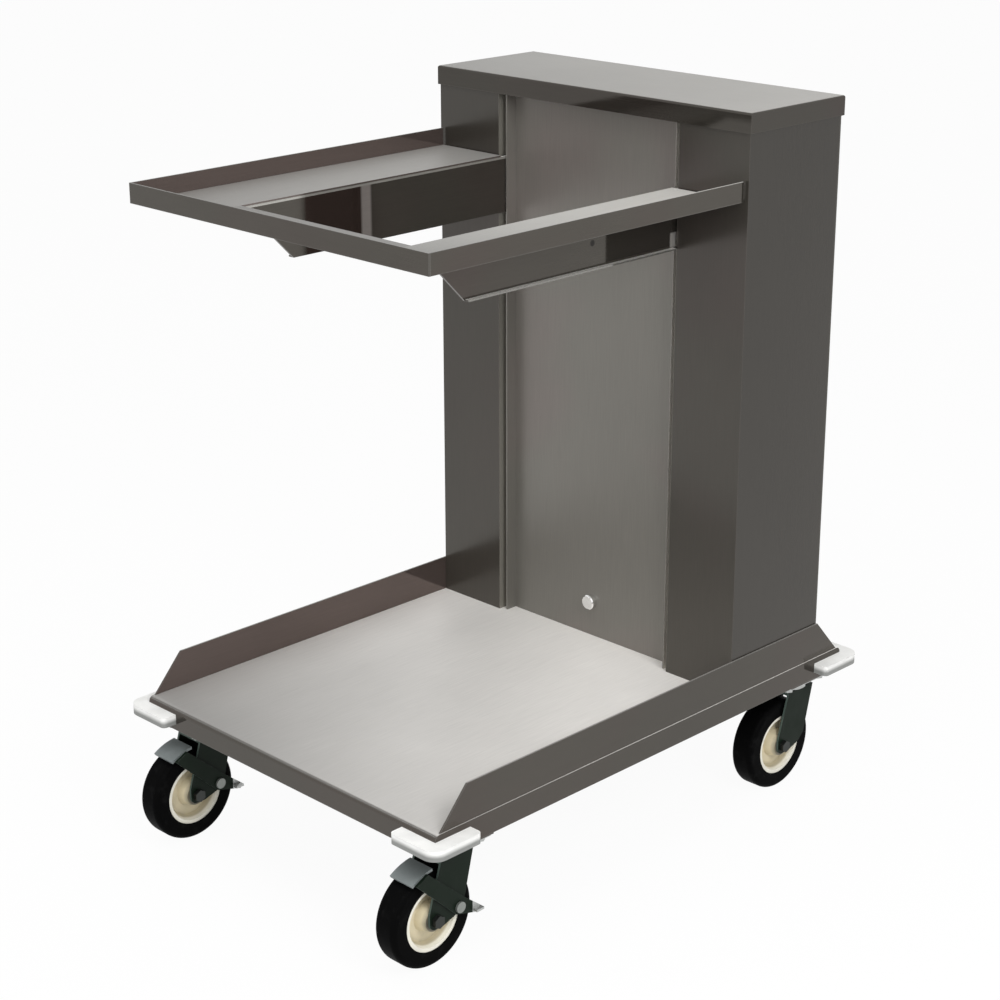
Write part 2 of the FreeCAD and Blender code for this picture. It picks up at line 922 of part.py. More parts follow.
def make_rollers():
    """Rollers on riveted axles; X runs outwards from the outer face of the arm."""
    near_face = roller_start - arm_outer
    far_face = roller_end - arm_outer
    shoulder_end = far_face + size.near_gap
    rivet = -size.arm_skin
    axle_profile = [
        (rivet - size.axle_head, ZERO),
        (rivet - size.axle_head, size.axle_head_radius),
        (rivet, size.axle_head_radius),
        (rivet, size.axle_shank_radius),
        (ZERO, size.axle_shank_radius),
        (ZERO, size.axle_head_radius),
        (near_face - size.near_gap, size.axle_head_radius),
        (near_face - size.near_gap, size.axle_radius),
        (shoulder_end, size.axle_radius),
        (shoulder_end, size.axle_head_radius),
        (shoulder_end + size.axle_head, size.axle_head_radius),
        (shoulder_end + size.axle_head, ZERO),
    ]
    bore = size.axle_radius + size.seat_gap
    edge = size.roller_edge
    roller_profile = [
        (near_face, bore),
        (near_face, size.roller_radius - edge),
        (near_face + edge, size.roller_radius),
        (far_face - edge, size.roller_radius),
        (far_face, size.roller_radius - edge),
        (far_face, bore),
    ]
    facing = {"left": FreeCAD.Rotation(FreeCAD.Vector(0, 0, 1), 180), "right": FreeCAD.Rotation()}
    axles = []
    for side, sign in SIDES.items():
        for level, z in ROLLER_LEVELS.items():
            axle = turned(f"{side}_{level}_axle", "XY", "H_Axis", axle_profile)
            roller = turned(f"{side}_{level}_roller", "XY", "H_Axis", roller_profile)
            for item in (axle, roller):
                item.Placement = FreeCAD.Placement(FreeCAD.Vector(), facing[side])
                place(item, arm_outer * sign, guide_y, z)
            axles.append(axle)
            keep(f"{side}_{level}_roller", roller)
    group("roller_axles", axles)


# Casters: top plate, fork, axle, wheel and brake

plate_bottom = size.caster_height - size.top_plate_skin
race_bottom = plate_bottom - size.race_height
crown_top = race_bottom - size.near_gap
crown_bottom = crown_top - size.fork_crown_skin
fork_half = size.fork_gap / 2 + size.fork_skin


def make_top_plate(name, x, y):
    """Square plate with its ball race and the kingpin that holds the fork."""
    half_x, half_y = size.top_plate_width / 2, size.top_plate_length / 2
    body = new_body(f"{name}_top_plate")
    outline = [(-half_x, -half_y), (half_x, -half_y), (half_x, half_y), (-half_x, half_y)]
    pad(body, "XY", outline, plate_bottom, size.caster_height)
    hole = size.caster_bolt_radius + size.caster_bolt_play
    drill(body, "XY", caster_bolt_spots(ZERO, ZERO), hole, plate_bottom, size.caster_height)
    sketch = new_sketch(body, "XZ", 0)
    pin_head_top = crown_bottom - size.near_gap
    profile = [
        (ZERO, plate_bottom),
        (size.race_radius, plate_bottom),
        (size.race_radius, race_bottom),
        (size.kingpin_radius, race_bottom),
        (size.kingpin_radius, pin_head_top),
        (size.kingpin_head_radius, pin_head_top),
        (size.kingpin_head_radius, pin_head_top - size.kingpin_head),
        (ZERO, pin_head_top - size.kingpin_head),
    ]
    draw_outline(sketch, profile)
    race = body.newObject("PartDesign::Revolution", f"{name}_race")
    race.Profile = sketch
    race.ReferenceAxis = (sketch, ["V_Axis"])
    race.Angle = 360
    place(body, x, y)
    keep(f"{name}_caster_plate", body)


def make_fork(name, x, y, braked):
    """Bent fork; Y runs from the kingpin, with the wheel trailing towards -Y."""
    axle_y = -size.caster_trail
    axle_z = size.wheel_radius
    foot = size.fork_foot
    pivot_y = axle_y + size.brake_pivot_y
    pivot_z = axle_z + size.brake_pivot_z
    outline = [
        (-size.fork_crown_half, crown_top),
        (size.fork_crown_half, crown_top),
        (pivot_y + foot, pivot_z),
        (pivot_y, pivot_z - foot),
        (axle_y + foot, axle_z - foot),
        (axle_y - foot, axle_z - foot),
        (axle_y - foot, axle_z + foot),
    ]
    body = new_body(f"{name}_fork_sheet")
    pad(body, "YZ", outline, -fork_half, fork_half)
    reach = size.wheel_radius + size.caster_trail
    inside = [(-reach, ZERO), (reach, ZERO), (reach, crown_bottom), (-reach, crown_bottom)]
    pocket(body, "YZ", inside, -size.fork_gap / 2, size.fork_gap / 2)
    drill(body, "YZ", [(axle_y, axle_z)], size.wheel_axle_radius + size.seat_gap, -fork_half, fork_half)
    drill(body, "XY", [(ZERO, ZERO)], size.kingpin_radius + size.seat_gap, crown_bottom, crown_top)
    along_x = FreeCAD.Vector(1, 0, 0)
    low = axle_z - foot
    round_edges(
        body,
        size.fork_foot_round,
        lambda edge, middle: runs_along(edge, along_x)
        and near(middle.z, low)
        and (near(middle.y, axle_y - foot) or near(middle.y, axle_y + foot)),
    )
    place(body, x, y)
    if not braked:
        keep(f"{name}_fork", body)
        return
    pin_length = size.near_gap + size.brake_lever_skin + size.near_gap + size.brake_pin_head
    head_x = fork_half + pin_length - size.brake_pin_head
    pin_y, pin_z = y + pivot_y, pivot_z
    pin = rod(f"{name}_brake_pin", "X", size.brake_pin_radius, pin_length, x + fork_half, pin_y, pin_z)
    head_radius, head_length = size.brake_pin_head_radius, size.brake_pin_head
    head = rod(f"{name}_brake_pin_head", "X", head_radius, head_length, x + head_x, pin_y, pin_z)
    keep(f"{name}_fork", fuse(f"{name}_fork", [body, pin, head]))


def make_axle(name, x, y, z):
    """Bolt through the fork, with its head on one side and its nut on the other."""
    length = fork_half * 2 + size.wheel_axle_head * 2
    shank = rod(f"{name}_axle_shank", "X", size.wheel_axle_radius, length, x - length / 2, y, z)
    radius, head_length = size.wheel_axle_head_radius, size.wheel_axle_head
    head = hexagon(f"{name}_axle_head", "X", radius, head_length, x + fork_half, y, z)
    nut = hexagon(f"{name}_axle_nut", "X", radius, head_length, x - fork_half - head_length, y, z)
    keep(f"{name}_axle", fuse(f"{name}_axle", [shank, head, nut]))


def make_wheel(name, x, y, z):
    half_boss = size.fork_gap / 2 - size.near_gap
    half_rim = size.tread_width / 2
    rim = size.rim_radius - size.seat_gap
    bore = size.wheel_axle_radius + size.seat_gap
    rim_inner = size.rim_radius - size.hub_rim
    web = size.hub_web_half
    recess = half_rim - size.rim_recess
    hub_profile = [
        (-half_boss, bore),
        (-half_boss, size.hub_boss_radius),
        (-web, size.hub_boss_radius + size.hub_rim),
        (-web, rim_inner - size.hub_rim),
        (-recess, rim_inner),
        (-recess, rim),
        (recess, rim),
        (recess, rim_inner),
        (web, rim_inner - size.hub_rim),
        (web, size.hub_boss_radius + size.hub_rim),
        (half_boss, size.hub_boss_radius),
        (half_boss, bore),
    ]
    hub = place(turned(f"{name}_hub", "XY", "H_Axis", hub_profile), x, y, z)
    keep(f"{name}_hub", hub)
    tyre_profile = [
        (-half_rim, size.rim_radius),
        (half_rim, size.rim_radius),
        (half_rim, size.wheel_radius),
        (-half_rim, size.wheel_radius),
    ]
    tyre = turned(f"{name}_tyre", "XY", "H_Axis", tyre_profile)

    def shoulder(edge, middle):
        if edge.Curve.TypeId != "Part::GeomCircle":
            return False
        return near(edge.Curve.Radius, size.wheel_radius)

    round_edges(tyre, size.tread_round, shoulder)
    keep(f"{name}_tyre", place(tyre, x, y, z))


def make_brake(name, x, y, z):
    """Rocker on the fork's pin: lifting its rear tip lowers the shoe. Y and Z run from the axle."""
    low = fork_half + size.near_gap
    high = low + size.brake_lever_skin
    pivot_y, pivot_z = size.brake_pivot_y, size.brake_pivot_z
    half = size.brake_lever_half
    shoe_inner = size.wheel_radius + size.brake_shoe_gap
    shoe_outer = shoe_inner + size.brake_shoe_skin
    tip_y = pivot_y + size.brake_lever_reach
    tip_z = pivot_z - size.brake_tip_drop
    shoe_y = -shoe_inner / 2
    outline = [
        (shoe_y, shoe_inner - half),
        (shoe_y + half * 2, shoe_inner),
        (pivot_y + half, pivot_z + half),
        (tip_y, tip_z + half),
        (tip_y, tip_z),
        (pivot_y - half / 2, pivot_z - half),
    ]
    body = new_body(f"{name}_brake_lever")
    pad(body, "YZ", outline, low, high)
    tab = [
        (tip_y - size.brake_tab_length, tip_z + half - size.brake_tab_skin),
        (tip_y, tip_z + half - size.brake_tab_skin),
        (tip_y, tip_z + half),
        (tip_y - size.brake_tab_length, tip_z + half),
    ]
    pad(body, "YZ", tab, high, high + size.brake_tab_width)
    drill(body, "YZ", [(pivot_y, pivot_z)], size.brake_pin_radius + size.seat_gap, low, high)
    keep(f"{name}_brake_lever", place(body, x, y, z))
    sector = doc.addObject("Part::Cylinder", f"{name}_shoe_outer")
    bind(sector, "Radius", shoe_outer)
    bore = doc.addObject("Part::Cylinder", f"{name}_shoe_bore")
    bind(bore, "Radius", shoe_inner)
    shoe_length = low + size.brake_shoe_width / 2
    turn = FreeCAD.Rotation(FreeCAD.Vector(1, 1, 1), 120)
    for item in (sector, bore):
        bind(item, "Angle", size.brake_shoe_far - size.brake_shoe_near)
        bind(item, "Height", shoe_length)
        item.Placement = FreeCAD.Placement(FreeCAD.Vector(), turn)
    shoe = cut(f"{name}_brake_shoe", sector, bore)
    shoe.Placement = FreeCAD.Placement(FreeCAD.Vector(), FreeCAD.Rotation(FreeCAD.Vector(1, 0, 0), 0))
    bind(shoe, "Placement.Rotation.Angle", size.brake_shoe_near)
    keep(f"{name}_brake_shoe", place(shoe, x - size.brake_shoe_width / 2, y, z))


def make_caster_bolts(spots):
    bolts = []
    head_start = plate_bottom - size.caster_bolt_head
    nut_start = size.caster_height + size.channel_skin
    length = nut_start + size.caster_nut - head_start
    radius = size.caster_bolt_head_radius
    for number, (x, y) in enumerate(spots, start=1):
        head = hexagon(f"caster_bolt_head_{number}", "Z", radius, size.caster_bolt_head, x, y, head_start)
        shank = rod(f"caster_bolt_shank_{number}", "Z", size.caster_bolt_radius, length, x, y, head_start)
        nut = hexagon(f"caster_bolt_nut_{number}", "Z", radius, size.caster_nut, x, y, nut_start)
        bolts.append(fuse(f"caster_bolt_{number}", [head, shank, nut]))
    group("caster_bolts", bolts)


def make_casters():
    bolt_spots = []
    for row, y in CASTER_ROWS.items():
        for side, sign in SIDES.items():
            name = f"{row}_{side}"
            x = caster_x * sign
            axle_y = y - size.caster_trail
            braked = row == "front"
            make_top_plate(name, x, y)
            make_fork(name, x, y, braked)
            make_axle(name, x, axle_y, size.wheel_radius)
            make_wheel(name, x, axle_y, size.wheel_radius)
            if braked:
                make_brake(name, x, axle_y, size.wheel_radius)
            bolt_spots += caster_bolt_spots(x, y)
    make_caster_bolts(bolt_spots)


def check_document():
    """Stop if any object failed, or any sub-part has no sound shape."""
    for item in doc.Objects:
        if "Invalid" in item.State or "Error" in item.State:
            raise RuntimeError(f"{item.Label} failed: {item.State}")
    for label, item in nodes.items():
        if item.Shape.isNull() or not item.Shape.isValid() or not item.Shape.Solids:
            raise RuntimeError(f"{label} has no sound shape")


def main():
    make_deck_pan()
    make_side_rails()
    make_caster_channels()
    make_bumpers()
    make_tower_sides()
    make_back_panel()
    make_front_panel()
    make_panel_latch()
    make_cap()
    make_guides()
    make_hanger()
    make_stops()
    make_springs()
    make_ledges()
    make_arms()
    make_carriage_bars()
    make_rollers()
    make_casters()
    doc.recompute()
    check_document()
    os.makedirs("parts", exist_ok=True)
    for label, item in nodes.items():
        item.Shape.exportStep(f"parts/{label}.step")
    print(f"{len(nodes)} sub-parts written")


main()
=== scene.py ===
"""Looks of the mobile rack dispenser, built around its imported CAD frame. All lengths are in metres."""
import json
import math

import bpy
from mathutils import Matrix, Vector


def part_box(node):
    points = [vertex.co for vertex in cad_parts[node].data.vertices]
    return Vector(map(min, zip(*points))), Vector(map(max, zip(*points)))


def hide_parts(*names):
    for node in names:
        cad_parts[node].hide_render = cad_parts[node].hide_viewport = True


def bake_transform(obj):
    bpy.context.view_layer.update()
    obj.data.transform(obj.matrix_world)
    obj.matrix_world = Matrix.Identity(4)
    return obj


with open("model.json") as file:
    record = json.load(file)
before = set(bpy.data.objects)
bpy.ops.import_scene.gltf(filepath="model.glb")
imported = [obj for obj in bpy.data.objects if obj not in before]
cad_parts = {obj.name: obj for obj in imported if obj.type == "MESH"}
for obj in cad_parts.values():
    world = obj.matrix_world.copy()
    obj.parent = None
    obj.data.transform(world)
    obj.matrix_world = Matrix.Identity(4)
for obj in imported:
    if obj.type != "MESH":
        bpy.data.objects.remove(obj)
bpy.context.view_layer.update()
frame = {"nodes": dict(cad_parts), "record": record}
nodes = frame["nodes"]
slot_of = {row["node"]: row["material_slot"] for row in frame["record"]["subparts"]}
X, Y, Z = 0, 1, 2

# Camera of the photograph, which is a square picture
CAMERA_PLACE = (1.8962, -1.8929, 1.3935)
CAMERA_TARGET = (-0.0076, 0.0139, 0.4287)
CAMERA_ROLL = math.radians(-0.11)
CAMERA_LENS = 79.27
CAMERA_SENSOR = 36.0

# Colours, as linear light. Many of the steel's are painted light, shade, highlights and reflections, as
# said above each group
# Upright faces of the steel and the tower: dark copies of its colour that carry painted shade; STEEL_WARM
# is a warmer tone at random
STEEL_SIDE = (0.075, 0.068, 0.058)
STEEL_WARM = (0.081, 0.061, 0.056)
TOWER_SIDE = (0.070, 0.0635, 0.054)
# Painted shade on the tower's faces that look left and right
TOWER_FLANK_SHADE = (0.052, 0.047, 0.040)
# Painted light on the inner faces of rails and ledges
INNER_FACE_LIGHT = (0.158, 0.124, 0.113)
# Painted highlights along the sharp edges of the steel, dimmer on the tower and cap
STEEL_EDGE_HIGHLIGHT = (0.17, 0.165, 0.155)
TOWER_EDGE_HIGHLIGHT = (0.088, 0.081, 0.070)
# Upright faces of the front panel: a lighter copy that also carries painted shade
PANEL_SIDE = (0.172, 0.164, 0.146)
# Painted light on the jambs of the slots, against the shade in the slots
JAMB_LIGHT = (0.30, 0.285, 0.25)
# Painted highlights on the arms: along the edge under the ledge, and along the flange's outer edge
BEND_HIGHLIGHT = (0.42, 0.41, 0.38)
FLANGE_HIGHLIGHT = (0.27, 0.262, 0.243)
# Painted reflections on the left arm's inner face: a dark stretch and a light strip
ARM_DARK_REFLECTION = (0.047, 0.0325, 0.0275)
ARM_LIGHT_REFLECTION = (0.35, 0.317, 0.298)
# Painted highlight patch at the foot of the right arm
ARM_PATCH_HIGHLIGHT = (0.66, 0.635, 0.60)
# Painted shade of a bolt hole on the right arm
ARM_SPOT_SHADE = (0.020, 0.018, 0.016)
# Painted light on the sides of the front panel that show in the slots
SLOT_SIDE_LIGHT = (0.66, 0.63, 0.57)
# Faces that look up: light copies of the steel's colour that carry painted light, a different brightness
# on each piece
DECK_TOP = (0.765, 0.746, 0.716)
RAIL_TOP = (0.27, 0.26, 0.245)
CAP_TOP = (0.335, 0.326, 0.307)
LEFT_LEDGE_TOP = (0.268, 0.260, 0.246)
RIGHT_LEDGE_TOP = (0.47, 0.46, 0.435)
FRONT_LEDGE_TOP = (0.18, 0.174, 0.165)
FLANGE_TOP = (0.85, 0.84, 0.80)
# Bumper: white above, and a grey copy below that carries painted shade
BUMPER_LIT = (0.90, 0.90, 0.88)
BUMPER_SHADED = (0.26, 0.265, 0.255)
TYRE_COLOUR = (0.0025, 0.0025, 0.0026)
HUB_RING = (0.90, 0.87, 0.76)
HUB_CONE = (0.72, 0.64, 0.45)
FORK_COLOUR = (0.006, 0.012, 0.007)
# Painted light on the forks' faces that look to the front
FORK_FRONT_LIGHT = (0.085, 0.115, 0.10)
ZINC_COLOUR = (0.50, 0.51, 0.50)
PIN_COLOUR = (0.27, 0.285, 0.27)
SHOE_COLOUR = (0.21, 0.235, 0.235)
BOLT_COLOUR = (0.055, 0.058, 0.055)
KNOB_COLOUR = (0.86, 0.86, 0.85)
NYLON_COLOUR = (0.78, 0.76, 0.69)
RUBBER_COLOUR = (0.012, 0.012, 0.012)
SPRING_COLOUR = (0.34, 0.34, 0.35)
WHITE = (1.0, 1.0, 1.0)


# Building blocks of the finishes

# Part of a face's direction along an axis at which it starts to count, and at which it counts in full
LOOKS_UP = (0.75, 0.97)
LOOKS_ALONG = (0.5, 0.9)

# Blur of a mark's border, and the distances past a mark's reach at which it is gone and is full
SHARP_BLUR = 0.0002
REACH_FADE = (0.0005, 0.0002)

# Likeness of a face's rounded and true directions at which an edge starts, and at which it is full
EDGE_LIKENESS = (0.99, 0.80)
EDGE_SAMPLES = 4

# Span that holds most values of a noise
NOISE_SPAN = (0.3, 0.7)


def colour(value):
    """A colour as a shader socket takes it; a socket stays as it is."""
    if isinstance(value, bpy.types.NodeSocket):
        return value
    return (*value, 1.0)


class Shading:
    """A node tree being put together: it adds nodes and joins them by their sockets."""

    def __init__(self, tree):
        self.tree = tree

    def add(self, kind, inputs=None, **settings):
        """Add a node with its settings, and fill its inputs."""
        node = self.tree.nodes.new(kind)
        for key, value in settings.items():
            setattr(node, key, value)
        for key, value in (inputs or {}).items():
            self.join(node.inputs[key], value)
        return node

    def join(self, target, value):
        """Link a socket to a target, or set a plain value on it."""
        if isinstance(value, bpy.types.NodeSocket):
            self.tree.links.new(value, target)
        else:
            target.default_value = value

    def maths(self, operation, first, second=0.0):
        """Result of an operation on one or two numbers."""
        return self.add("ShaderNodeMath", {0: first, 1: second}, operation=operation).outputs[0]

    def ramp(self, value, start, end, low=0.0, high=1.0):
        """Carry a value from one range into another, and stop at its ends."""
        inputs = {"Value": value, "From Min": start, "From Max": end, "To Min": low, "To Max": high}
        return self.add("ShaderNodeMapRange", inputs).outputs["Result"]

    def seen_directly(self):
        """1 for rays of the camera, of gloss and of glass, 0 for the light that falls on things."""
        rays = self.add("ShaderNodeLightPath").outputs
        first = self.maths("MAXIMUM", rays["Is Camera Ray"], rays["Is Glossy Ray"])
        return self.maths("MAXIMUM", first, rays["Is Transmission Ray"])


class Finish(Shading):
    """A material being put together. Its places and directions are those of the frame at rest."""

    def __init__(self, name):
        self.material = bpy.data.materials.new(name)
        self.material.use_nodes = True
        super().__init__(self.material.node_tree)
        self.surface = self.tree.nodes["Principled BSDF"]
        coordinates = self.add("ShaderNodeTexCoord")
        self.place = coordinates.outputs["Object"]
        self.way = coordinates.outputs["Normal"]

    def set(self, **inputs):
        """Fill inputs of the surface, named with _ for each space. The result is the material."""
        for key, value in inputs.items():
            self.join(self.surface.inputs[key.replace("_", " ")], value)
        return self.material

    def bump(self, height, distance, strength):
        """Make the surface uneven by a height."""
        inputs = {"Height": height, "Distance": distance, "Strength": strength}
        self.set(Normal=self.add("ShaderNodeBump", inputs).outputs["Normal"])

    def noise(self, scale, detail, stretch=(1, 1, 1)):
        """Noise from 0 to 1 over the piece, finer along the axes with a larger stretch."""
        spot = self.add("ShaderNodeMapping", {"Vector": self.place, "Scale": stretch})
        texture = {"Vector": spot.outputs["Vector"], "Scale": scale, "Detail": detail}
        return self.add("ShaderNodeTexNoise", texture).outputs["Fac"]

    def vary(self, noise, low, high):
        """Spread a noise over a range."""
        return self.ramp(noise, *NOISE_SPAN, low, high)

    def mix(self, share, first, second):
        """Colour that goes from the first to the second as the share goes from 0 to 1."""
        inputs = {0: share, 6: colour(first), 7: colour(second)}
        return self.add("ShaderNodeMix", inputs, data_type="RGBA").outputs[2]

    def scaled(self, tint, share):
        """Colour made lighter or darker by a number."""
        first = tint if isinstance(tint, bpy.types.NodeSocket) else tuple(tint)
        node = self.add("ShaderNodeVectorMath", {0: first, "Scale": share}, operation="SCALE")
        return node.outputs["Vector"]

    def both(self, first, second):
        """1 where two marks lie over each other."""
        return self.maths("MULTIPLY", first, second)

    def part(self, vector, axis):
        """One of a vector's three numbers."""
        return self.add("ShaderNodeSeparateXYZ", {0: vector}).outputs[axis]

    def dot(self, first, second):
        """Dot product of two vectors."""
        node = self.add("ShaderNodeVectorMath", {0: first, 1: second}, operation="DOT_PRODUCT")
        return node.outputs["Value"]

    def looking_up(self):
        """1 on faces that look up, 0 on upright ones."""
        return self.ramp(self.part(self.way, Z), *LOOKS_UP)

    def facing(self, axis, sign):
        """1 on faces that look along an axis, or against it with a sign of -1."""
        start, end = LOOKS_ALONG
        return self.ramp(self.part(self.way, axis), start * sign, end * sign)

    def past(self, axis, value, blur=SHARP_BLUR):
        """1 past a place along an axis, 0 before it."""
        return self.ramp(self.part(self.place, axis), value - blur, value + blur)

    def between(self, axis, start, end, blur=SHARP_BLUR):
        """1 between two places along an axis, 0 outside them."""
        return self.maths("SUBTRACT", self.past(axis, start, blur), self.past(axis, end, blur))

    def within(self, axis, reach):
        """1 up to a distance from the middle along an axis, 0 beyond it."""
        gone, full = REACH_FADE
        distance = self.maths("ABSOLUTE", self.part(self.place, axis))
        return self.ramp(distance, reach + gone, reach + full)

    def beyond(self, axis, reach):
        """1 past a distance from the middle along an axis, 0 before it."""
        return self.ramp(self.within(axis, reach), 0.0, 1.0, 1.0, 0.0)

    def evenly(self, middle, slope, least=0.0, most=2.0):
        """Share that changes evenly over the piece between two limits.

        The middle is its value at the frame's origin, and the slope its change along X, Y and Z.
        """
        along = self.dot(self.place, slope)
        return self.ramp(along, least - middle, most - middle, least, most)

    def from_axle(self, centre):
        """Distance from the line along X through a point."""
        offset = self.add("ShaderNodeVectorMath", {0: self.place, 1: centre}, operation="SUBTRACT")
        inputs = {0: offset.outputs["Vector"], 1: (0, 1, 1)}
        flat = self.add("ShaderNodeVectorMath", inputs, operation="MULTIPLY")
        distance = self.add("ShaderNodeVectorMath", {0: flat.outputs["Vector"]}, operation="LENGTH")
        return distance.outputs["Value"]

    def near_edge(self, reach):
        """1 close to a sharp edge, 0 on the flat."""
        rounded = self.add("ShaderNodeBevel", {"Radius": reach}, samples=EDGE_SAMPLES).outputs["Normal"]
        flat = self.add("ShaderNodeNewGeometry").outputs["True Normal"]
        return self.ramp(self.dot(rounded, flat), *EDGE_LIKENESS)


# In the finishes below, a noise is given by its scale and detail, and a bump by its depth and strength.
# A span holds the values of a noise between which a mark goes from nothing to full.

# Sheet steel: its noises, what they do to colour and roughness, and the reach of the painted highlight
# along its edges
STEEL_CLOUDS = (2.6, 3.0)
CLOUD_SHADES = (0.93, 1.07)
WARM_PATCHES = (4.1, 2.0)
WARM_SPAN = (0.48, 0.75)
MOST_WARM = 0.6
BRUSHED = (1.0, 4.0)
BRUSHED_SHADES = (0.94, 1.06)
BRUSHED_BUMP = (0.00002, 0.3)
BRUSHED_ROUGHNESS = 0.012
SMEARS = (9.0, 4.0)
SMEAR_SPAN = (0.35, 0.7)
SMEAR_ROUGHNESS = 0.025
STEEL_EDGE_REACH = 0.0014

# Roughness of its upright faces and of those that look up, and how metallic they are
MIRROR_ROUGHNESS = 0.035
MIRROR_METAL = 0.65
TOP_ROUGHNESS = 0.46
TOP_METAL = 0.18


def stainless(
    name, side, top, grain, marks=(), drifts=(), fade=None,
    edge=STEEL_EDGE_HIGHLIGHT, shine=MIRROR_ROUGHNESS, metal=MIRROR_METAL,
):
    """Sheet steel: upright faces mirror the room and carry painted shade, a dark copy of the steel's
    colour, and those that look up are a bright satin that carries painted light.

    Side, top and edge are the colours of upright faces (painted shade), of faces that look up (painted
    light) and of sharp edges (a painted highlight).
    Each mark is a function that gives its place on the piece, and the colour of the upright faces there.
    The drifts are painted light and shade that change the satin's brightness evenly over the piece, and
    the fade is painted shade that changes that of the upright faces. Shine is the roughness of the
    upright faces, and metal how metallic they are.
    """
    finish = Finish(name)
    up = finish.looking_up()
    # Drifts: painted light and shade over the satin
    for drift in drifts:
        top = finish.scaled(top, finish.evenly(*drift))
    warm = finish.ramp(finish.noise(*WARM_PATCHES), *WARM_SPAN, 0.0, MOST_WARM)
    warm_side = [part * warmed / plain for part, warmed, plain in zip(side, STEEL_WARM, STEEL_SIDE)]
    upright = finish.mix(warm, side, warm_side)
    # Marks: painted highlights, light, shade and reflections on the upright faces
    for where, mark_tint in marks:
        upright = finish.mix(where(finish), upright, mark_tint)
    # Fade: painted shade over the upright faces
    if fade is not None:
        upright = finish.scaled(upright, finish.evenly(*fade))
    # Painted highlight along sharp edges
    upright = finish.mix(finish.near_edge(STEEL_EDGE_REACH), upright, edge)
    clouds = finish.vary(finish.noise(*STEEL_CLOUDS), *CLOUD_SHADES)
    brushed = finish.noise(*BRUSHED, grain)
    # Painted light and shade: faces that look up take the light top colour, upright faces the dark side
    # colour
    tint = finish.scaled(finish.mix(up, upright, top), clouds)
    tint = finish.scaled(tint, finish.vary(brushed, *BRUSHED_SHADES))
    smear = finish.ramp(finish.noise(*SMEARS), *SMEAR_SPAN, 0.0, SMEAR_ROUGHNESS)
    streak = finish.vary(brushed, 0.0, BRUSHED_ROUGHNESS)
    even = finish.ramp(up, 0.0, 1.0, shine, TOP_ROUGHNESS)
    rough = finish.maths("ADD", even, finish.maths("ADD", smear, streak))
    finish.bump(brushed, *BRUSHED_BUMP)
    metallic = finish.ramp(up, 0.0, 1.0, metal, TOP_METAL)
    return finish.set(Base_Color=tint, Metallic=metallic, Roughness=rough)


# Moulded plastics: their pebbled skin, patches of gloss and stains
PEBBLES = (1400.0, 2.0)
PEBBLE_BUMP = (0.00008, 0.4)
GLOSS_PATCHES = (60.0, 3.0)
STAIN_SPAN = (0.35, 0.75)


def pebbled(finish, glossy, dull):
    """Give a finish the pebbled skin of moulded plastic. The result is its uneven roughness."""
    finish.bump(finish.noise(*PEBBLES), *PEBBLE_BUMP)
    return finish.vary(finish.noise(*GLOSS_PATCHES), glossy, dull)


# Nylon of the rollers
NYLON_GRIME = (22.0, 4.0)
NYLON_SHADES = (1.0, 0.92)
NYLON_ROUGHNESS = (0.34, 0.46)


def roller_nylon(name):
    """Pale moulded nylon with a little grime."""
    finish = Finish(name)
    grime = finish.ramp(finish.noise(*NYLON_GRIME), *STAIN_SPAN, *NYLON_SHADES)
    rough = pebbled(finish, *NYLON_ROUGHNESS)
    return finish.set(Base_Color=finish.scaled(NYLON_COLOUR, grime), Roughness=rough)


# Bumpers: shares of the height between which the painted shade below turns to white, and rubbed marks,
# which are finer along Z
LIT_ABOVE_SPAN = (0.35, 0.75)
RUB_MARKS = (38.0, 5.0, (1, 1, 4))
RUB_SHADES = (1.04, 0.9)
BUMPER_ROUGHNESS = (0.42, 0.56)


def bumper_vinyl(name):
    """White vinyl with painted shade: grey below, turning white above, with rubbed marks on its sides."""
    finish = Finish(name)
    low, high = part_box("front_left_bumper")
    start, end = (low[Z] + share * (high[Z] - low[Z]) for share in LIT_ABOVE_SPAN)
    lit_above = finish.ramp(finish.part(finish.place, Z), start, end)
    # Painted shade below, white above
    tint = finish.mix(lit_above, BUMPER_SHADED, BUMPER_LIT)
    rubbed = finish.ramp(finish.noise(*RUB_MARKS), *STAIN_SPAN, *RUB_SHADES)
    rough = pebbled(finish, *BUMPER_ROUGHNESS)
    return finish.set(Base_Color=finish.scaled(tint, rubbed), Roughness=rough)


# Hubs: width of the outer ring and blur of its border, how far inside the ring the darker corner starts
# and is darkest, distances from the axle that hold the painted shade round the boss, and how dark the
# corner, that painted shade and grime are
RING_WIDTH = 0.0065
RING_BLUR = 0.0012
CORNER_DARK_START = 0.008
CORNER_DARK_END = 0.001
CORNER_DARK = 0.35
BOSS_SHADE_START = 0.009
BOSS_SHADE_END = 0.017
BOSS_SHADE_BLURS = (0.002, 0.003)
BOSS_SHADE = 1.1
HUB_GRIME = (46.0, 5.0)
HUB_GRIME_SPAN = (0.4, 0.75)
GRIME = 0.22
MOST_MARKED = 1.3
MARKED_SHADE = 0.1
HUB_ROUGHNESS = (0.34, 0.5)


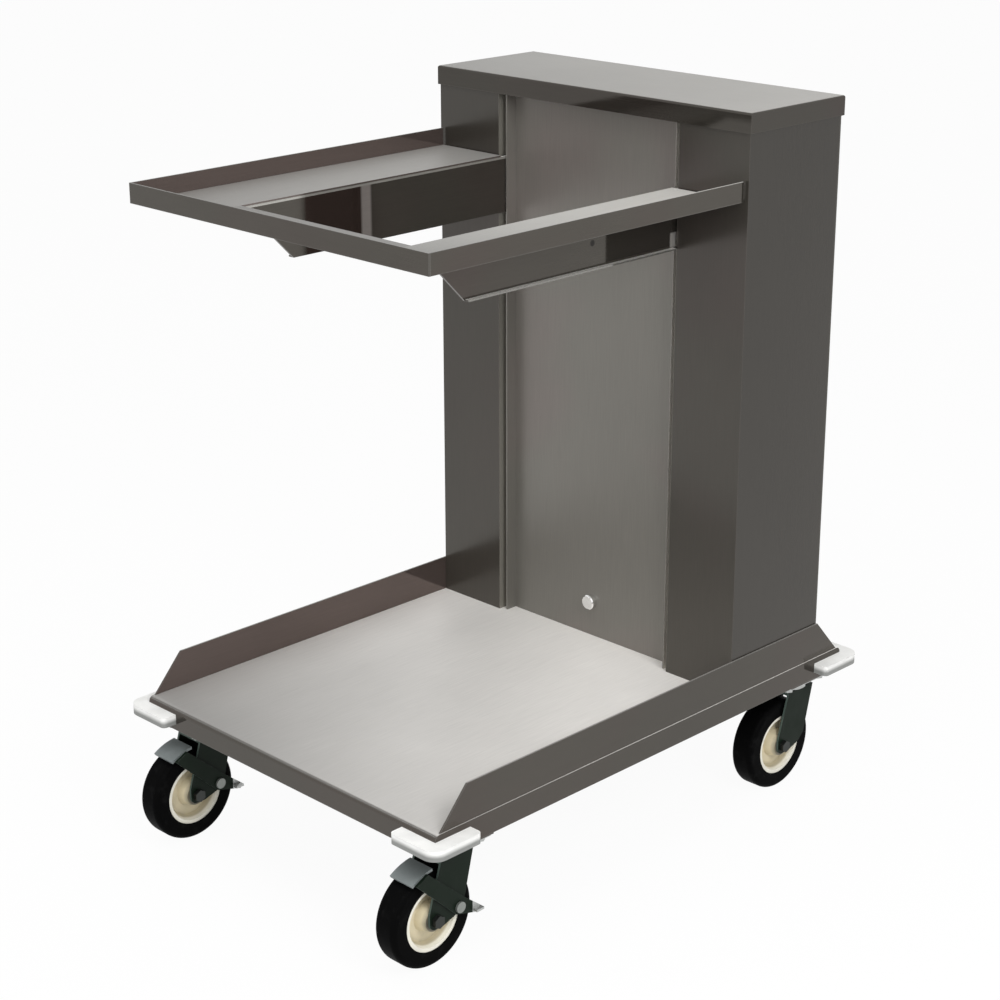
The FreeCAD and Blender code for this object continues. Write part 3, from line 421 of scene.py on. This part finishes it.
def hub_plastic(name, centre, ring_radius):
    """Cream moulded hub: a pale ring, a yellower cone, darker in the corner between them, and painted
    shade round the boss.
    """
    finish = Finish(name)
    distance = finish.from_axle(centre)
    ring = finish.ramp(distance, ring_radius - RING_BLUR, ring_radius)
    # Darker in the corner just inside the ring
    corner = finish.ramp(distance, ring_radius - CORNER_DARK_START, ring_radius - CORNER_DARK_END)
    corner_dark = finish.both(corner, finish.ramp(ring, 0.0, 1.0, CORNER_DARK, 0.0))
    start_blur, end_blur = BOSS_SHADE_BLURS
    # Painted shade in a ring round the boss
    inner = finish.ramp(distance, BOSS_SHADE_START, BOSS_SHADE_START + start_blur, 0.0, BOSS_SHADE)
    boss_shade = finish.both(inner, finish.ramp(distance, BOSS_SHADE_END, BOSS_SHADE_END - end_blur))
    grime = finish.ramp(finish.noise(*HUB_GRIME), *HUB_GRIME_SPAN, 0.0, GRIME)
    shade_and_grime = finish.maths("ADD", boss_shade, finish.maths("ADD", corner_dark, grime))
    shade = finish.ramp(shade_and_grime, 0.0, MOST_MARKED, 1.0, MARKED_SHADE)
    tint = finish.scaled(finish.mix(ring, HUB_CONE, HUB_RING), shade)
    return finish.set(Base_Color=tint, Roughness=pebbled(finish, *HUB_ROUGHNESS))


# Rubber: scuffs, the dust in them, its grain and its shine
SCUFFS = (75.0, 5.0)
SCUFF_SPAN = (0.55, 0.8)
MOST_SCUFFED = 0.6
SCUFF_DUST = 0.010
RUBBER_GRAIN = (900.0, 3.0)
RUBBER_BUMP = (0.00012, 0.5)
RUBBER_ROUGHNESS = (0.5, 0.75)
RUBBER_SHINE = 0.015


def rubber(name, tint):
    """Black rubber with dusty scuffs."""
    finish = Finish(name)
    scuff = finish.ramp(finish.noise(*SCUFFS), *SCUFF_SPAN, 0.0, MOST_SCUFFED)
    dusty = [part + SCUFF_DUST for part in tint]
    rough = finish.ramp(scuff, 0.0, 1.0, *RUBBER_ROUGHNESS)
    finish.bump(finish.noise(*RUBBER_GRAIN), *RUBBER_BUMP)
    finish.set(Specular_IOR_Level=RUBBER_SHINE)
    return finish.set(Base_Color=finish.mix(scuff, tint, dusty), Roughness=rough)


# Fork paint: patches where an edge is worn and how much paler they are, its skin, and metal without paint
WORN_PATCHES = (130.0, 3.0)
WORN_SPAN = (0.45, 0.65)
WORN_PALER = 0.06
PAINT_EDGE_REACH = 0.0012
PAINT_SKIN = (420.0, 2.0)
PAINT_BUMP = (0.0001, 0.35)
PAINT_GLOSS_PATCHES = (40.0, 3.0)
PAINT_ROUGHNESS = (0.34, 0.5)
PAINT_SHINE = 0.1
BARE_METAL = 0.7


def fork_paint(name, bare=None, bare_tint=ZINC_COLOUR):
    """Semi-gloss paint over pressed steel, with painted light on the faces that look to the front, and
    worn at its edges.

    Where bare gives an axis and a place along it, the piece has no paint past that place.
    """
    finish = Finish(name)
    patches = finish.ramp(finish.noise(*WORN_PATCHES), *WORN_SPAN)
    worn = finish.both(finish.near_edge(PAINT_EDGE_REACH), patches)
    # Painted light on the faces that look to the front
    tint = finish.mix(finish.facing(Y, -1), FORK_COLOUR, FORK_FRONT_LIGHT)
    tint = finish.mix(worn, tint, [part + WORN_PALER for part in FORK_COLOUR])
    if bare is not None:
        unpainted = finish.past(*bare)
        tint = finish.mix(unpainted, tint, bare_tint)
        finish.set(Metallic=finish.ramp(unpainted, 0.0, 1.0, 0.0, BARE_METAL))
    finish.bump(finish.noise(*PAINT_SKIN), *PAINT_BUMP)
    rough = finish.vary(finish.noise(*PAINT_GLOSS_PATCHES), *PAINT_ROUGHNESS)
    return finish.set(Base_Color=tint, Roughness=rough, Specular_IOR_Level=PAINT_SHINE)


# Plated metal: clouds, patches of gloss and how much rougher they get, and its skin
PLATE_CLOUDS = (48.0, 4.0)
PLATE_SHADES = (0.88, 1.08)
PLATE_GLOSS_PATCHES = (85.0, 3.0)
PLATE_SPREAD = 0.1
PLATE_SKIN = (700.0, 2.0)
PLATE_BUMP = (0.00004, 0.3)


def plated(name, tint, roughness, spread=PLATE_SPREAD, metal=1.0):
    """Plated or bare metal with a cloudy, slightly uneven shine."""
    finish = Finish(name)
    clouds = finish.vary(finish.noise(*PLATE_CLOUDS), *PLATE_SHADES)
    rough = finish.vary(finish.noise(*PLATE_GLOSS_PATCHES), roughness, roughness + spread)
    finish.bump(finish.noise(*PLATE_SKIN), *PLATE_BUMP)
    return finish.set(Base_Color=finish.scaled(tint, clouds), Metallic=metal, Roughness=rough)


# Marks on the sheets: painted highlights, light, shade and reflections

# Widths of the painted highlights along the edges of the arms, and of the painted light on the panel's
# sides
EDGE_BEND = 0.003
FLANGE_RIM = 0.0015
SLOT_RIM = 0.0006

# Places along Y of the left arm's painted reflections: the dark stretch and the light strip
DARK_START = -0.181
STRIP = (-0.0890, -0.0733)
STRIP_BLUR = 0.002

# Place of the right arm's painted highlight patch along Y, and how far its lower and upper edges are
# under the ledge
PATCH = (0.1535, 0.170)
PATCH_DROPS = (0.0725, 0.054)
PATCH_BLUR = 0.001

# Place along Y and Z of the right arm's spot of painted shade
SPOT_CENTRE = (0.0112, 0.7955)
SPOT_RADIUS = 0.0046
SPOT_BLUR = 0.0015


def left_faces(finish):
    """Faces that look to the left."""
    return finish.facing(X, -1)


def right_faces(finish):
    """Faces that look to the right."""
    return finish.facing(X, 1)


def slot_jamb(finish):
    """Edges of the tower's sides along the slots."""
    return finish.within(X, -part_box("tower_left_side")[1][X])


def slot_side(finish):
    """Outer faces of the front panel's sides, which show in the slots."""
    return finish.beyond(X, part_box("tower_front_panel")[1][X] - SLOT_RIM)


def under_ledge(finish):
    """Edge of an arm along the ledge that is folded over it."""
    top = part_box("left_rack_ledge")[0][Z]
    return finish.between(Z, top - EDGE_BEND, top)


def flange_edge(finish):
    """Outer edge of the flange at an arm's foot."""
    return finish.beyond(X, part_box("right_arm")[1][X] - FLANGE_RIM)


def arm_front(finish):
    """Stretch of the left arm's inner face, in front of the strip, that carries a painted dark
    reflection.
    """
    stretch = finish.between(Y, DARK_START, STRIP[0], STRIP_BLUR)
    return finish.both(right_faces(finish), stretch)


def arm_strip(finish):
    """Upright strip on the left arm's inner face that carries a painted light reflection."""
    return finish.both(right_faces(finish), finish.between(Y, *STRIP, STRIP_BLUR))


def arm_patch(finish):
    """Patch of painted highlight at the foot of the right arm, where it goes into the tower."""
    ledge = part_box("right_rack_ledge")[0][Z]
    low, high = (ledge - drop for drop in PATCH_DROPS)
    along = finish.both(right_faces(finish), finish.between(Y, *PATCH, PATCH_BLUR))
    return finish.both(along, finish.between(Z, low, high, PATCH_BLUR))


def arm_spot(finish):
    """Small dark spot of painted shade, as in a bolt hole, on the right arm's outer face."""
    distance = finish.from_axle((0, *SPOT_CENTRE))
    spot = finish.ramp(distance, SPOT_RADIUS, SPOT_RADIUS - SPOT_BLUR)
    return finish.both(right_faces(finish), spot)


# On the panel: painted light on its sides in the slots
PANEL_MARKS = [(slot_side, SLOT_SIDE_LIGHT)]
# On the tower: painted shade on the faces that look left and right, painted light on the slots' jambs
TOWER_MARKS = [(left_faces, TOWER_FLANK_SHADE), (right_faces, TOWER_FLANK_SHADE), (slot_jamb, JAMB_LIGHT)]
# On both arms: painted highlights along the edge under the ledge and along the flange
FOLD_HIGHLIGHTS = [(under_ledge, BEND_HIGHLIGHT), (flange_edge, FLANGE_HIGHLIGHT)]
ARM_MARKS = {
    "left": [(arm_front, ARM_DARK_REFLECTION), (arm_strip, ARM_LIGHT_REFLECTION), *FOLD_HIGHLIGHTS],
    "right": [(arm_patch, ARM_PATCH_HIGHLIGHT), (arm_spot, ARM_SPOT_SHADE), *FOLD_HIGHLIGHTS],
}

# Inner faces of rails and ledges, which carry painted light, lighter and warmer than the steel
INNER_FACES_LIT = {"left": [(right_faces, INNER_FACE_LIGHT)], "right": [(left_faces, INNER_FACE_LIGHT)]}


# Finishes of the CAD nodes

# Brushed lines are long along one axis and fine across the other two
ALONG_X = (24, 1500, 1500)
ALONG_Y = (1500, 24, 1500)
ALONG_Z = (1500, 1500, 24)

# Painted light and shade that change brightness evenly over the cart: the value at the frame's origin and
# the slope along X, Y and Z, with the least and the most where they matter
DECK_LIGHT_DRIFTS = ((1.04, (0.70, 1.40, 0.0), 0.0, 1.25), (0.72, (-2.0, 0.0, 0.0), 1.0, 1.25))
TOWER_SHADE_FADE = (1.05, (0.0, 0.0, -0.33))
CAP_LIGHT_DRIFTS = ((0.7, (0.3, 0.55, 0.0)),)
LEDGES = {
    # side: colour of its top, brushed lines, drifts; the top and the drifts carry painted light
    "left": (LEFT_LEDGE_TOP, ALONG_Y, [(1.0, (0.0, 0.45, 0.0))]),
    "right": (RIGHT_LEDGE_TOP, ALONG_Y, [(1.0, (0.0, 1.8, 0.0))]),
    "front": (FRONT_LEDGE_TOP, ALONG_X, []),
}

# Duller steel of the tower and its front panel; the tower's fade is painted shade towards the top, and
# its edge colour a painted highlight
TOWER_LOOK = {"fade": TOWER_SHADE_FADE, "edge": TOWER_EDGE_HIGHLIGHT, "shine": 0.2, "metal": 0.4}
PANEL_LOOK = {"shine": 0.36, "metal": 0.3}

# Least roughness of the plated pieces, and what else sets knob and shoe apart
ZINC_ROUGHNESS = 0.28
SPRING_ROUGHNESS = 0.3
BOLT_ROUGHNESS = 0.4
KNOB_LOOK = {"roughness": 0.12, "spread": 0.04}
SHOE_LOOK = {"roughness": 0.5, "metal": 0.4}

# Bare ends of the painted brake parts: the pin's head on the fork, and the lever's tip
PIN_HEAD = 0.0031
LEVER_TIP = 0.0125


def slot_finishes():
    """Finishes of the record's material slots. The hubs have their own."""
    return {
        "stainless": stainless("deck_stainless", STEEL_SIDE, DECK_TOP, ALONG_Y, drifts=DECK_LIGHT_DRIFTS),
        "panel_stainless": stainless(
            "panel_stainless", PANEL_SIDE, DECK_TOP, ALONG_Z, PANEL_MARKS, **PANEL_LOOK
        ),
        "bumper_vinyl": bumper_vinyl("bumper_vinyl"),
        "tyre_rubber": rubber("tyre_rubber", TYRE_COLOUR),
        "stop_rubber": rubber("stop_rubber", RUBBER_COLOUR),
        "fork_paint": fork_paint("fork_paint"),
        "roller_nylon": roller_nylon("roller_nylon"),
        "zinc_plate": plated("zinc_plate", ZINC_COLOUR, ZINC_ROUGHNESS),
        "spring_steel": plated("spring_steel", SPRING_COLOUR, SPRING_ROUGHNESS),
        "latch_chrome": plated("latch_chrome", KNOB_COLOUR, **KNOB_LOOK),
    }


def sheet_finishes():
    """Finishes of the sheets that differ from the deck's."""
    cap_look = {"drifts": CAP_LIGHT_DRIFTS, "fade": TOWER_SHADE_FADE, "edge": TOWER_EDGE_HIGHLIGHT}
    tower = stainless("tower_stainless", TOWER_SIDE, CAP_TOP, ALONG_Z, TOWER_MARKS, **TOWER_LOOK)
    found = {
        "tower_top_cap": stainless("cap_stainless", STEEL_SIDE, CAP_TOP, ALONG_X, **cap_look),
        "tower_back_panel": stainless("back_stainless", TOWER_SIDE, CAP_TOP, ALONG_Z, **TOWER_LOOK),
        "tower_left_side": tower,
        "tower_right_side": tower,
    }
    for side, marks in ARM_MARKS.items():
        name = f"{side}_arm"
        found[name] = stainless(name, STEEL_SIDE, FLANGE_TOP, ALONG_Y, marks)
    for side, (top, grain, drifts) in LEDGES.items():
        name = f"{side}_rack_ledge"
        found[name] = stainless(name, STEEL_SIDE, top, grain, INNER_FACES_LIT.get(side, ()), drifts)
    for side, marks in INNER_FACES_LIT.items():
        name = f"{side}_side_rail"
        found[name] = stainless(name, STEEL_SIDE, RAIL_TOP, ALONG_Y, marks)
    return found


def caster_finishes():
    """Finishes of the casters' pieces that depend on where each is, and of their shoes and axles."""
    shoe = plated("shoe_steel", SHOE_COLOUR, **SHOE_LOOK)
    dark_bolt = plated("dark_bolt", BOLT_COLOUR, BOLT_ROUGHNESS)
    found = {}
    for name in nodes:
        low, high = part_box(name)
        if name.endswith("_hub"):
            middle = tuple((a + b) / 2 for a, b in zip(low, high))
            found[name] = hub_plastic(name, middle, (high[Z] - low[Z]) / 2 - RING_WIDTH)
        elif name.startswith("front") and name.endswith("_fork"):
            found[name] = fork_paint(name, (X, high[X] - PIN_HEAD), PIN_COLOUR)
        elif name.endswith("_brake_lever"):
            found[name] = fork_paint(name, (Y, high[Y] - LEVER_TIP))
        elif name.endswith("_brake_shoe"):
            found[name] = shoe
        elif name.endswith("_axle"):
            found[name] = dark_bolt
    return found


def dress_nodes(by_slot):
    """Give every CAD node its own finish, or else its slot's."""
    by_node = {**sheet_finishes(), **caster_finishes()}
    for name, node in nodes.items():
        finish = by_node.get(name) or by_slot[slot_of[name]]
        node.data.materials.clear()
        node.data.materials.append(finish)


# Lift springs

SPRING_COUNT = 6
SPRING_TURNS = 28
STEPS_PER_TURN = 18
WIRE_RADIUS = 0.00115
WIRE_SIDES = 8
SPRING_STUB = 0.012
OPENING_TURNS = 0.75


def spring_path(x, y, bottom, top, radius):
    """Centre line of a tension spring: a stub on its axis, the coil that opens out and closes, a stub."""
    low, high = bottom + SPRING_STUB, top - SPRING_STUB
    steps = SPRING_TURNS * STEPS_PER_TURN
    points = [Vector((x, y, bottom)), Vector((x, y, (bottom + low) / 2))]
    for step in range(steps + 1):
        share = step / steps
        turn = SPRING_TURNS * share
        opened = min(1.0, turn / OPENING_TURNS, (SPRING_TURNS - turn) / OPENING_TURNS)
        reach = radius * math.sin(opened * math.pi / 2)
        angle = math.tau * turn
        spot = (x + reach * math.cos(angle), y + reach * math.sin(angle), low + (high - low) * share)
        points.append(Vector(spot))
    points += [Vector((x, y, (high + top) / 2)), Vector((x, y, top))]
    return points


def add_tube(points, radius, vertices, faces):
    """Sweep a round wire along points, with its ends closed."""
    first = len(vertices)
    side = Vector((1, 0, 0))
    for index, point in enumerate(points):
        ahead = points[min(index + 1, len(points) - 1)]
        behind = points[max(index - 1, 0)]
        along = (ahead - behind).normalized()
        side = (side - along * side.dot(along)).normalized()
        across = along.cross(side)
        for turn in range(WIRE_SIDES):
            angle = math.tau * turn / WIRE_SIDES
            vertices.append(point + (side * math.cos(angle) + across * math.sin(angle)) * radius)
    for ring in range(len(points) - 1):
        start = first + ring * WIRE_SIDES
        above = start + WIRE_SIDES
        for turn in range(WIRE_SIDES):
            after = (turn + 1) % WIRE_SIDES
            faces.append((start + turn, start + after, above + after, above + turn))
    last = first + (len(points) - 1) * WIRE_SIDES
    faces.append(tuple(range(first + WIRE_SIDES - 1, first - 1, -1)))
    faces.append(tuple(range(last, last + WIRE_SIDES)))


def make_springs(finish):
    """Wound springs that stand for the plain spring solids."""
    low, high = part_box("lift_springs")
    outer = (high[Y] - low[Y]) / 2
    y = (high[Y] + low[Y]) / 2
    gap = (high[X] - low[X] - outer * 2) / (SPRING_COUNT - 1)
    vertices, faces = [], []
    for number in range(SPRING_COUNT):
        x = low[X] + outer + gap * number
        path = spring_path(x, y, low[Z], high[Z], outer - WIRE_RADIUS)
        add_tube(path, WIRE_RADIUS, vertices, faces)
    mesh = bpy.data.meshes.new("spring_coils")
    mesh.from_pydata(vertices, [], faces)
    mesh.shade_smooth()
    mesh.materials.append(finish)
    coils = bpy.data.objects.new("spring_coils", mesh)
    bpy.context.scene.collection.objects.link(coils)
    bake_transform(coils)
    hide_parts("lift_springs")


# Studio: floor, world, lamps and camera

FLOOR_SIZE = 60.0
FLOOR_COLOUR = (0.90, 0.90, 0.90)
FLOOR_ROUGHNESS = 0.9
FLOOR_GLOW = 0.95
WORLD_LIGHT = 0.5

LAMPS = {
    # name: place, target, size across, watts
    "overhead": ((0.2, -0.5, 3.0), (0.0, 0.0, 0.4), 2.6, 30.0),
    "front_fill": ((0.9, -2.8, 1.3), (0.0, 0.0, 0.4), 2.0, 20.0),
    "key": ((1.75, -0.45, 1.62), (0.0, 0.0, 0.5), 0.9, 20.0),
}


def make_floor():
    """Pale floor that looks white and keeps a faint shadow."""
    half = FLOOR_SIZE / 2
    mesh = bpy.data.meshes.new("studio_floor")
    corners = [(-half, -half, 0), (half, -half, 0), (half, half, 0), (-half, half, 0)]
    mesh.from_pydata(corners, [], [(0, 1, 2, 3)])
    floor = bpy.data.objects.new("studio_floor", mesh)
    bpy.context.scene.collection.objects.link(floor)
    finish = Finish("studio_floor")
    finish.set(Base_Color=colour(FLOOR_COLOUR), Roughness=FLOOR_ROUGHNESS, Specular_IOR_Level=0.0)
    glow = finish.add("ShaderNodeEmission", {"Color": colour(WHITE), "Strength": 1.0})
    share = finish.maths("MULTIPLY", finish.seen_directly(), FLOOR_GLOW)
    inputs = {0: share, 1: finish.surface.outputs["BSDF"], 2: glow.outputs["Emission"]}
    mixed = finish.add("ShaderNodeMixShader", inputs)
    output = finish.tree.nodes["Material Output"]
    finish.join(output.inputs["Surface"], mixed.outputs["Shader"])
    mesh.materials.append(finish.material)


def make_world():
    """White surroundings, and an even fill light."""
    world = bpy.data.worlds.new("studio")
    world.use_nodes = True
    shading = Shading(world.node_tree)
    background = shading.tree.nodes["Background"]
    strength = shading.ramp(shading.seen_directly(), 0.0, 1.0, WORLD_LIGHT, 1.0)
    shading.join(background.inputs["Color"], colour(WHITE))
    shading.join(background.inputs["Strength"], strength)
    bpy.context.scene.world = world


def aimed(place, target):
    """Turn that points a lamp or a camera from a place at a target."""
    return (Vector(target) - Vector(place)).to_track_quat("-Z", "Y")


def make_lamps():
    """Round area lamps."""
    for name, (place, target, across, watts) in LAMPS.items():
        data = bpy.data.lights.new(name, "AREA")
        data.shape = "DISK"
        data.size = across
        data.energy = watts
        lamp = bpy.data.objects.new(name, data)
        lamp.location = place
        lamp.rotation_euler = aimed(place, target).to_euler()
        bpy.context.scene.collection.objects.link(lamp)


def make_camera():
    """Camera that sees the cart as the photograph does."""
    data = bpy.data.cameras.new("camera")
    data.lens = CAMERA_LENS
    data.sensor_width = CAMERA_SENSOR
    camera = bpy.data.objects.new("camera", data)
    turned = aimed(CAMERA_PLACE, CAMERA_TARGET).to_matrix() @ Matrix.Rotation(CAMERA_ROLL, 3, "Z")
    camera.matrix_world = Matrix.Translation(CAMERA_PLACE) @ turned.to_4x4()
    bpy.context.scene.collection.objects.link(camera)
    bpy.context.scene.camera = camera


finishes = slot_finishes()
dress_nodes(finishes)
make_springs(finishes["spring_steel"])
make_floor()
make_world()
make_lamps()
make_camera()
bpy.context.scene.view_settings.view_transform = "Standard"
